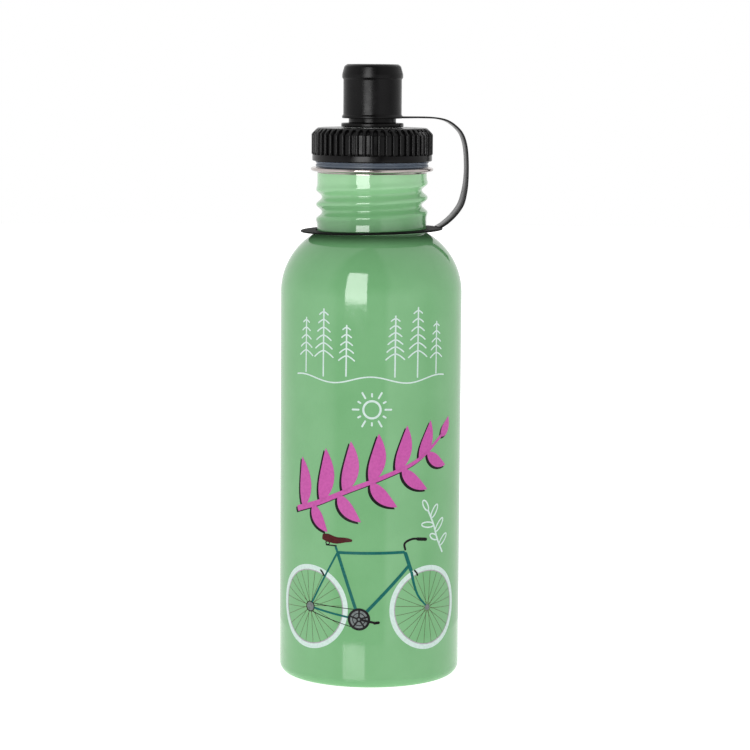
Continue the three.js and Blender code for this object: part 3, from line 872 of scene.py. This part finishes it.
def stroke(path, width, lift=0.04, round_ends=True, closed=False, step=0.5):
    """A film of ink along a path of (u, z) places. width is a number, or a function of the share
    of the way along."""
    path = np.array(path, float)
    if closed:
        path = np.vstack([path, path[:1]])
    length = distances(path)
    total = length[-1]
    at = np.linspace(0, total, max(6, int(total / step)) + 1)
    if round_ends and not closed:
        reach = min(0.5 * (width if np.isscalar(width) else 0.4), total / 3)
        ends = reach * (1 - np.cos(np.linspace(0, math.pi / 2, 5)))
        at = np.unique(np.concatenate([ends, total - ends, at[(at > reach) & (at < total - reach)]]))
    if closed:
        at = at[:-1]
    line = np.stack([np.interp(at, length, path[:, i]) for i in (0, 1)], axis=1)
    along = directions(line, closed)
    across = np.stack([-along[:, 1], along[:, 0]], axis=1)
    widths = np.full(len(at), width) if np.isscalar(width) else np.array([width(t) for t in at / total])
    if round_ends and not closed:
        near = np.minimum(at, total - at)
        inside = np.clip(1 - near / max(reach, 1e-6), 0, 1)
        widths = np.maximum(widths * np.sqrt(1 - inside**2), 0.02)
    columns = max(2, int(np.max(widths) / 0.8) + 1)
    offsets = np.linspace(-0.5, 0.5, columns + 1)
    places = line[:, None] + across[:, None] * (offsets[None, :, None] * widths[:, None, None])
    top = wrapped(places, BODY_R + lift)
    under = wrapped(places, BODY_R - INK_ROOT)[:, ::-1]
    points = np.concatenate([top, under], axis=1)
    section = 2 * (columns + 1)
    faces = ring_faces(len(at), section, closed)
    if not closed:
        last = (len(at) - 1) * section
        for first in (0, last):
            for j in range(columns):
                a, b = first + j, first + section - 1 - j
                faces.append((a, a + 1, b - 1, b))
    return points.reshape(-1, 3), faces


def circle(centre, radius, count):
    angles = np.arange(count) * 2 * math.pi / count
    return [around(centre, radius, a) for a in angles]


def hoop(centre, radius, count, *pen):
    """A ring of ink. pen is its width and lift."""
    return stroke(circle(centre, radius, count), *pen, closed=True)


def disc(centre, radius, lift):
    """A round spot of ink: one stroke across it, as wide as the spot is at each place."""
    line = [around(centre, radius, a) for a in (math.pi, 0)]

    def width(t):
        return 2 * radius * math.sqrt(max(1e-4, 1 - (2 * t - 1) ** 2))

    return stroke(line, width, lift, False, step=0.1)


def leaning(degrees):
    """Unit vectors along and across a direction that leans to the right from straight up."""
    a = math.radians(degrees)
    return np.array([math.sin(a), math.cos(a)]), np.array([math.cos(a), -math.sin(a)])


def leaf(base, angle, length, width, lift):
    """A pointed leaf from its base, leaning at an angle in degrees."""
    lean, side = leaning(angle)
    t = np.linspace(0, 1, 24)[:, None]
    line = np.array(base) + t * length * lean + side * (np.sin(t * math.pi) * length * 0.08)

    def swell(s):
        return max(0.05, width * math.sin(math.pi * s**0.8) ** 0.85)

    return stroke(line, swell, lift, False, step=0.35)


def print_layer(name, shapes, material):
    add_piece(name, *joined(shapes), material, "green_enamel", "bottle")


def pine(foot, height, spread, tiers):
    """A fir tree in a few pen lines: a trunk, and drooping boughs on both sides of it."""
    u, z = foot
    width = 0.62
    shapes = [stroke([(u, z), (u + 0.2, z + height)], width)]
    for i in range(tiers):
        top = z + height * (0.95 - 0.68 * i / tiers)
        reach = spread * (0.38 + 0.62 * (i + 1) / tiers)
        drop = reach * 0.62
        for side in (-1, 1):
            t = np.linspace(0, 1, 10)
            bough = [(u + 0.15 + side * reach * s, top - drop * s**1.5) for s in t]
            shapes.append(stroke(bough, width * 0.9))
    return shapes


def skyline():
    """A row of firs under the shoulder, in thin white lines."""
    trees = [
        ((-28.3, 125.5), 22.0, 3.6, 5),
        ((-19.6, 124.4), 27.0, 4.4, 6),
        ((-9.8, 124.8), 20.5, 3.4, 5),
        ((9.6, 124.6), 24.5, 4.0, 6),
        ((19.3, 124.2), 28.0, 4.4, 6),
        ((28.6, 125.2), 21.0, 3.4, 5),
    ]
    shapes = [shape for tree in trees for shape in pine(*tree)]
    t = np.linspace(-1, 1, 40)
    ground = [(33.5 * s, 123.6 + 1.3 * math.cos(s * 7)) for s in t]
    return [*shapes, stroke(ground, 0.55)]


def sun():
    """A small sun with short rays."""
    centre = (0.6, 112.0)
    shapes = [hoop(centre, 3.4, 48, 0.85)]
    for i in range(12):
        a = 2 * math.pi * i / 12
        reach = 8.0 if i % 2 == 0 else 6.6
        shapes.append(stroke([around(centre, 4.9, a), around(centre, reach, a)], 0.75))
    return shapes


SPRIG_STEM = [(-33.0, 70.5), (-22.0, 74.0), (-8.0, 80.0), (6.0, 85.5), (20.0, 91.5), (33.0, 101.0)]
SPRIG_LEAVES = [
    ((-29.5, 71.6), -2, 20.0, 6.2),
    ((-20.5, 74.6), 6, 21.5, 6.6),
    ((-10.5, 79.0), 8, 20.5, 6.4),
    ((0.0, 83.2), 10, 19.5, 6.2),
    ((10.5, 87.4), 14, 18.5, 5.8),
    ((20.5, 91.8), 20, 16.0, 5.2),
    ((-24.0, 73.2), 148, 12.5, 5.0),
    ((-12.5, 78.0), 140, 14.0, 5.4),
    ((0.5, 83.2), 134, 14.5, 5.4),
    ((13.0, 88.4), 128, 14.5, 5.2),
    ((24.5, 94.2), 120, 12.0, 4.8),
]


def sprig(offset=(0.0, 0.0), lift=0.06):
    """A leafy twig that climbs to the right, across the middle of the print."""
    shift = np.array(offset)
    stem = spline(SPRIG_STEM, 12) + shift
    shapes = [stroke(stem, lambda t: 2.3 - 1.1 * t, lift)]
    for base, angle, length, width in SPRIG_LEAVES:
        shapes.append(leaf(np.array(base) + shift, angle, length, width, lift))
    tip = np.array(SPRIG_STEM[-1]) + shift
    shapes.append(leaf(tip - np.array((1.0, 1.0)), 34, 9.0, 4.4, lift))
    return shapes


def small_twig():
    """A little white twig with open leaves, below the sprig on the right."""
    stem = spline([(33.6, 53.0), (30.4, 58.6), (28.2, 64.6), (25.0, 71.0)], 10)
    shapes = [stroke(stem, 0.8)]
    for base, angle, length in (
        ((31.6, 56.2), 48, 6.2),
        ((30.2, 59.0), -64, 4.4),
        ((29.2, 62.0), 42, 6.6),
        ((28.1, 64.8), -84, 6.2),
        ((26.8, 67.8), 34, 6.0),
        ((25.0, 70.9), -30, 4.8),
    ):
        lean, side = leaning(angle)
        turn = np.linspace(0, 2 * math.pi, 36, endpoint=False)[:, None]
        loop = np.array(base) + lean * length / 2 * (1 - np.cos(turn)) + side * 1.05 * np.sin(turn)
        shapes.append(stroke(loop, 0.6, closed=True, step=0.35))
    return shapes


REAR_HUB, FRONT_HUB = (-25.4, 31.9), (25.0, 31.9)
WHEEL_R = 15.4
CRANK = (-4.0, 28.3)
SEAT_TOP, HEAD_TOP, HEAD_LOW = (-12.9, 54.8), (14.4, 55.0), (16.5, 49.8)
FORK_TOP = (17.3, 46.9)


def wheel_lines(hub, turn):
    """Spokes, each a fine line that leaves the hub's flange at a slant."""
    shapes = []
    for i in range(24):
        a = 2 * math.pi * i / 24 + turn
        slant = 0.5 if i % 2 == 0 else -0.5
        line = [around(hub, 0.9, a + slant), around(hub, WHEEL_R - 0.7, a)]
        shapes.append(stroke(line, 0.13, 0.03, False, step=1.2))
    return shapes


def bicycle():
    """A plain town bicycle with a level top tube, flat handlebars and a sprung saddle."""
    hubs = (REAR_HUB, FRONT_HUB)
    print_layer("print_tyres", [hoop(hub, WHEEL_R + 0.55, 120, 1.9, 0.05) for hub in hubs], INK_WHITE)
    print_layer("print_rims", [hoop(hub, WHEEL_R - 0.6, 120, 0.4, 0.045) for hub in hubs], INK_SHADE)
    spokes = [line for i, hub in enumerate(hubs) for line in wheel_lines(hub, 0.1 + 0.06 * i)]
    print_layer("print_spokes", spokes, INK_BROWN)

    fork = spline([FORK_TOP, (18.6, 41.5), (20.6, 36.8), FRONT_HUB], 10)
    tubes = [
        stroke([SEAT_TOP, HEAD_TOP], 1.15, 0.07),
        stroke([SEAT_TOP, CRANK], 1.25, 0.07),
        stroke([HEAD_LOW, CRANK], 1.3, 0.07),
        stroke([HEAD_TOP, FORK_TOP], 1.5, 0.075),
        stroke(fork, lambda t: 1.25 - 0.6 * t, 0.07),
        stroke([SEAT_TOP, REAR_HUB], 0.75, 0.07),
        stroke([CRANK, REAR_HUB], 0.8, 0.07),
        stroke([(-13.9, 57.6), SEAT_TOP], 0.9, 0.065),
    ]
    print_layer("print_frame", tubes, INK_TEAL)

    (rear_u, rear_z), (crank_u, crank_z) = REAR_HUB, CRANK
    chain = [
        stroke([(rear_u, rear_z + side * 1.6), (crank_u, crank_z + side * 3.9)], 0.28, 0.06, step=1)
        for side in (1, -1)
    ]
    sprockets = [
        hoop(CRANK, 4.0, 72, 0.95, 0.085),
        disc(CRANK, 1.1, 0.09),
        hoop(CRANK, 2.5, 48, 0.35, 0.083),
        hoop(REAR_HUB, 2.0, 40, 0.3, 0.083),
    ]
    brakes = [
        stroke([(u - 0.9, z + 0.9), (u + 0.2, z - 0.2), (u + lean, z - 1.6)], 0.75, 0.09)
        for u, z, lean in ((-19.6, 46.4, 0.9), (19.4, 46.6, 0.8))
    ]
    for i in range(5):
        a = 2 * math.pi * i / 5 + 0.3
        sprockets.append(stroke([CRANK, around(CRANK, 3.8, a)], 0.7, 0.085))
    crank = [
        stroke([CRANK, (crank_u + 6.6, crank_z - 1.4)], 0.9, 0.095),
        stroke([(crank_u + 5.6, crank_z - 1.5), (crank_u + 8.3, crank_z - 1.2)], 1.1, 0.1),
    ]
    bars = [
        stroke(spline([(14.6, 55.6), (14.2, 58.4), (17.5, 60.0), (22.0, 59.6)], 8), 0.85, 0.085),
        stroke([(19.4, 59.9), (24.6, 59.3)], 1.3, 0.09),
    ]
    springs = [
        hoop((-17.2, 58.4), 0.8, 24, 0.4, 0.08),
        stroke([(-18.0, 57.5), (-13.2, 57.4)], 0.5, 0.08),
    ]
    print_layer("print_black_lines", [*chain, *sprockets, *brakes, *crank, *bars, *springs], INK_BLACK)
    grey_discs = [(REAR_HUB, 1.15, 0.08), (FRONT_HUB, 1.15, 0.08)]
    grey_discs += [(CRANK, 3.5, 0.078), (REAR_HUB, 1.7, 0.078), (CRANK, 0.45, 0.11)]
    print_layer("print_hubs", [disc(*measures) for measures in grey_discs], INK_GREY)

    saddle = spline([(-19.6, 60.7), (-17.4, 60.4), (-13.5, 59.6), (-9.6, 59.9), (-6.9, 59.8)], 8)
    seat = stroke(saddle, lambda t: 2.9 * (1 - t) ** 0.6 * (0.5 + 0.5 * min(1, 5 * t)) + 0.7, 0.09)
    print_layer("print_saddle", [seat], INK_BROWN)


def printed_front():
    print_layer("print_white_lines", [*skyline(), *sun(), *small_twig()], INK_WHITE)
    print_layer("print_sprig_shadow", sprig((-0.95, -0.75), 0.035), INK_BLACK)
    print_layer("print_sprig", sprig(), INK_PINK)
    bicycle()


# ---- The studio: camera, light, floor
CAMERA_DISTANCE = 1112.0
CAMERA_HEIGHT = 250.0
CAMERA_PITCH = math.radians(6.59)
CAMERA_TURN = math.radians(0.09)
CAMERA_ROLL = math.radians(0.4)
LENS = 132.7


def camera():
    data = bpy.data.cameras.new("camera")
    data.lens = LENS
    data.sensor_width = 36
    data.clip_start, data.clip_end = 0.01, 100
    eye = scene_object("camera", data)
    aim = Matrix.Rotation(-CAMERA_TURN, 4, "Z") @ Matrix.Rotation(math.pi / 2 - CAMERA_PITCH, 4, "X")
    roll = Matrix.Rotation(CAMERA_ROLL, 4, "Z")
    eye.matrix_world = Matrix.Translation(Vector((0, -CAMERA_DISTANCE, CAMERA_HEIGHT)) * MM) @ aim @ roll
    bpy.context.scene.camera = eye


def softbox(azimuth, distance, low_z, high_z, width, power):
    """An upright area light that faces the bottle and shows in its reflections. azimuth is in degrees
    from the camera's side, positive towards +X."""
    data = bpy.data.lights.new("softbox", "AREA")
    data.shape = "RECTANGLE"
    data.size, data.size_y = width * MM, (high_z - low_z) * MM
    data.energy = power
    light = scene_object("softbox", data)
    a = math.radians(azimuth)
    place = Vector((math.sin(a) * distance, -math.cos(a) * distance, (low_z + high_z) / 2)) * MM
    light.location = place
    light.rotation_euler = Vector((place.x, place.y, 0)).to_track_quat("Z", "Y").to_euler()
    light.visible_camera = False
    light.visible_diffuse = False


# The walls, as (azimuth from the camera's side in degrees, brightness): what reflections show of their
# low and of their high part, and the light that the two parts shed
LOW_WALLS = [
    *((-180, 1.0), (-110, 1.1), (-60, 1.4), (-50, 1.2), (-42, 0.6), (17, 0.6)),
    *((24, 1.6), (60, 1.2), (76, 0.7), (100, 1.0), (180, 1.0)),
]
HIGH_WALLS = [(-180, 1.1), (-60, 0.9), (-45, 0.05), (17, 0.05), (30, 0.7), (60, 0.9), (100, 1.0), (180, 1.1)]
WALL_LIGHT = [(-180, 0.5), (-100, 0.8), (-50, 1.15), (20, 1.12), (55, 0.85), (90, 0.5), (180, 0.5)]
CEILING_LIGHT = [(-180, 0.4), (-100, 0.6), (-50, 0.9), (20, 0.9), (55, 0.7), (90, 0.4), (180, 0.4)]


LOW_END, HIGH_START = math.radians(-3), math.radians(15)  # the walls change between these elevations


def surroundings():
    """Walls all round, which the camera sees as plain white. Reflections show a darker gap where the camera
    stands, and most of the light comes from that side."""
    world = bpy.data.worlds.new("studio")
    world.use_nodes = True
    bpy.context.scene.world = world
    walls = Nodes(world.node_tree)
    x, y, z = walls.xyz(walls.source("TexCoord", "Generated"))
    azimuth = walls.math("ARCTAN2", x, walls.math("MULTIPLY", y, -1))
    turn = walls.span(azimuth, -math.pi, math.pi)
    height = walls.span(z, math.sin(LOW_END), math.sin(HIGH_START))

    def part(levels):
        return walls.ramp(turn, [((degrees + 180) / 360, (v, v, v, 1)) for degrees, v in levels])

    reflected = walls.mix(height, part(LOW_WALLS), part(HIGH_WALLS))
    shed = walls.mix(height, part(WALL_LIGHT), part(CEILING_LIGHT))
    light = walls.mix(walls.source("LightPath", "Is Glossy Ray"), shed, reflected)
    seen = walls.mix(walls.source("LightPath", "Is Camera Ray"), light, (1, 1, 1, 1))
    walls.links.new(seen, walls.nodes["Background"].inputs["Color"])


def stage_sheet(name, corners, material, only_reflected):
    """A flat sheet of the studio. Either only reflections show it, or everything but reflections does."""
    sheet = mesh_object(name, corners, [tuple(range(len(corners)))], material)
    sheet.visible_glossy = only_reflected
    sheet.visible_camera = sheet.visible_diffuse = sheet.visible_shadow = not only_reflected


def black_card(azimuth, distance, width, low_z, high_z):
    """An upright card behind the bottle, which its reflections show as a thin dark line at its edge."""
    turn = math.radians(azimuth)
    middle = np.array([math.sin(turn), -math.cos(turn)]) * distance
    side = np.array([math.cos(turn), math.sin(turn)]) * width / 2
    places = ((-1, low_z), (1, low_z), (1, high_z), (-1, high_z))
    corners = [(*(middle + side * way), z) for way, z in places]
    stage_sheet("black_card", corners, Shader("black_card", (0.02, 0.02, 0.02, 1), 0.9).material, True)


def floor_disc(name, radius, height, roughness, glow, only_reflected):
    """White floor that glows a little, and more for the camera, so that it stays white."""
    gloss = 0.5 if only_reflected else 0.0
    shader = Shader(name, (0.9, 0.9, 0.9, 1), roughness, Specular_IOR_Level=gloss)
    shader.roughness_between(shader.noise(20, 2), roughness, roughness + 0.05)
    for_camera = shader.source("LightPath", "Is Camera Ray")
    strength = shader.math("MULTIPLY_ADD", for_camera, 0.2, glow)
    shader.links.new(strength, shader.surface["Emission Strength"])
    edge = [(*place, height) for place in circle((0, 0), radius, 96)]
    stage_sheet(name, edge, shader.material, only_reflected)


def studio():
    camera()
    surroundings()
    softbox(azimuth=-19, distance=1700, low_z=20, high_z=1500, width=830, power=38)
    black_card(azimuth=147, distance=600, width=85, low_z=300, high_z=700)
    floor_disc("floor_near", radius=120, height=-0.05, roughness=0.12, glow=0.62, only_reflected=True)
    floor_disc("floor_wide", radius=3000, height=-0.6, roughness=0.5, glow=0.72, only_reflected=False)
    bpy.context.scene.view_settings.view_transform = "Standard"


# ---- Everything
bottle()
base()
seal()
plug()
grip()
spout()
small_rings()
nozzle()
sleeve()
cover()
strap()
ring()
printed_front()
studio()
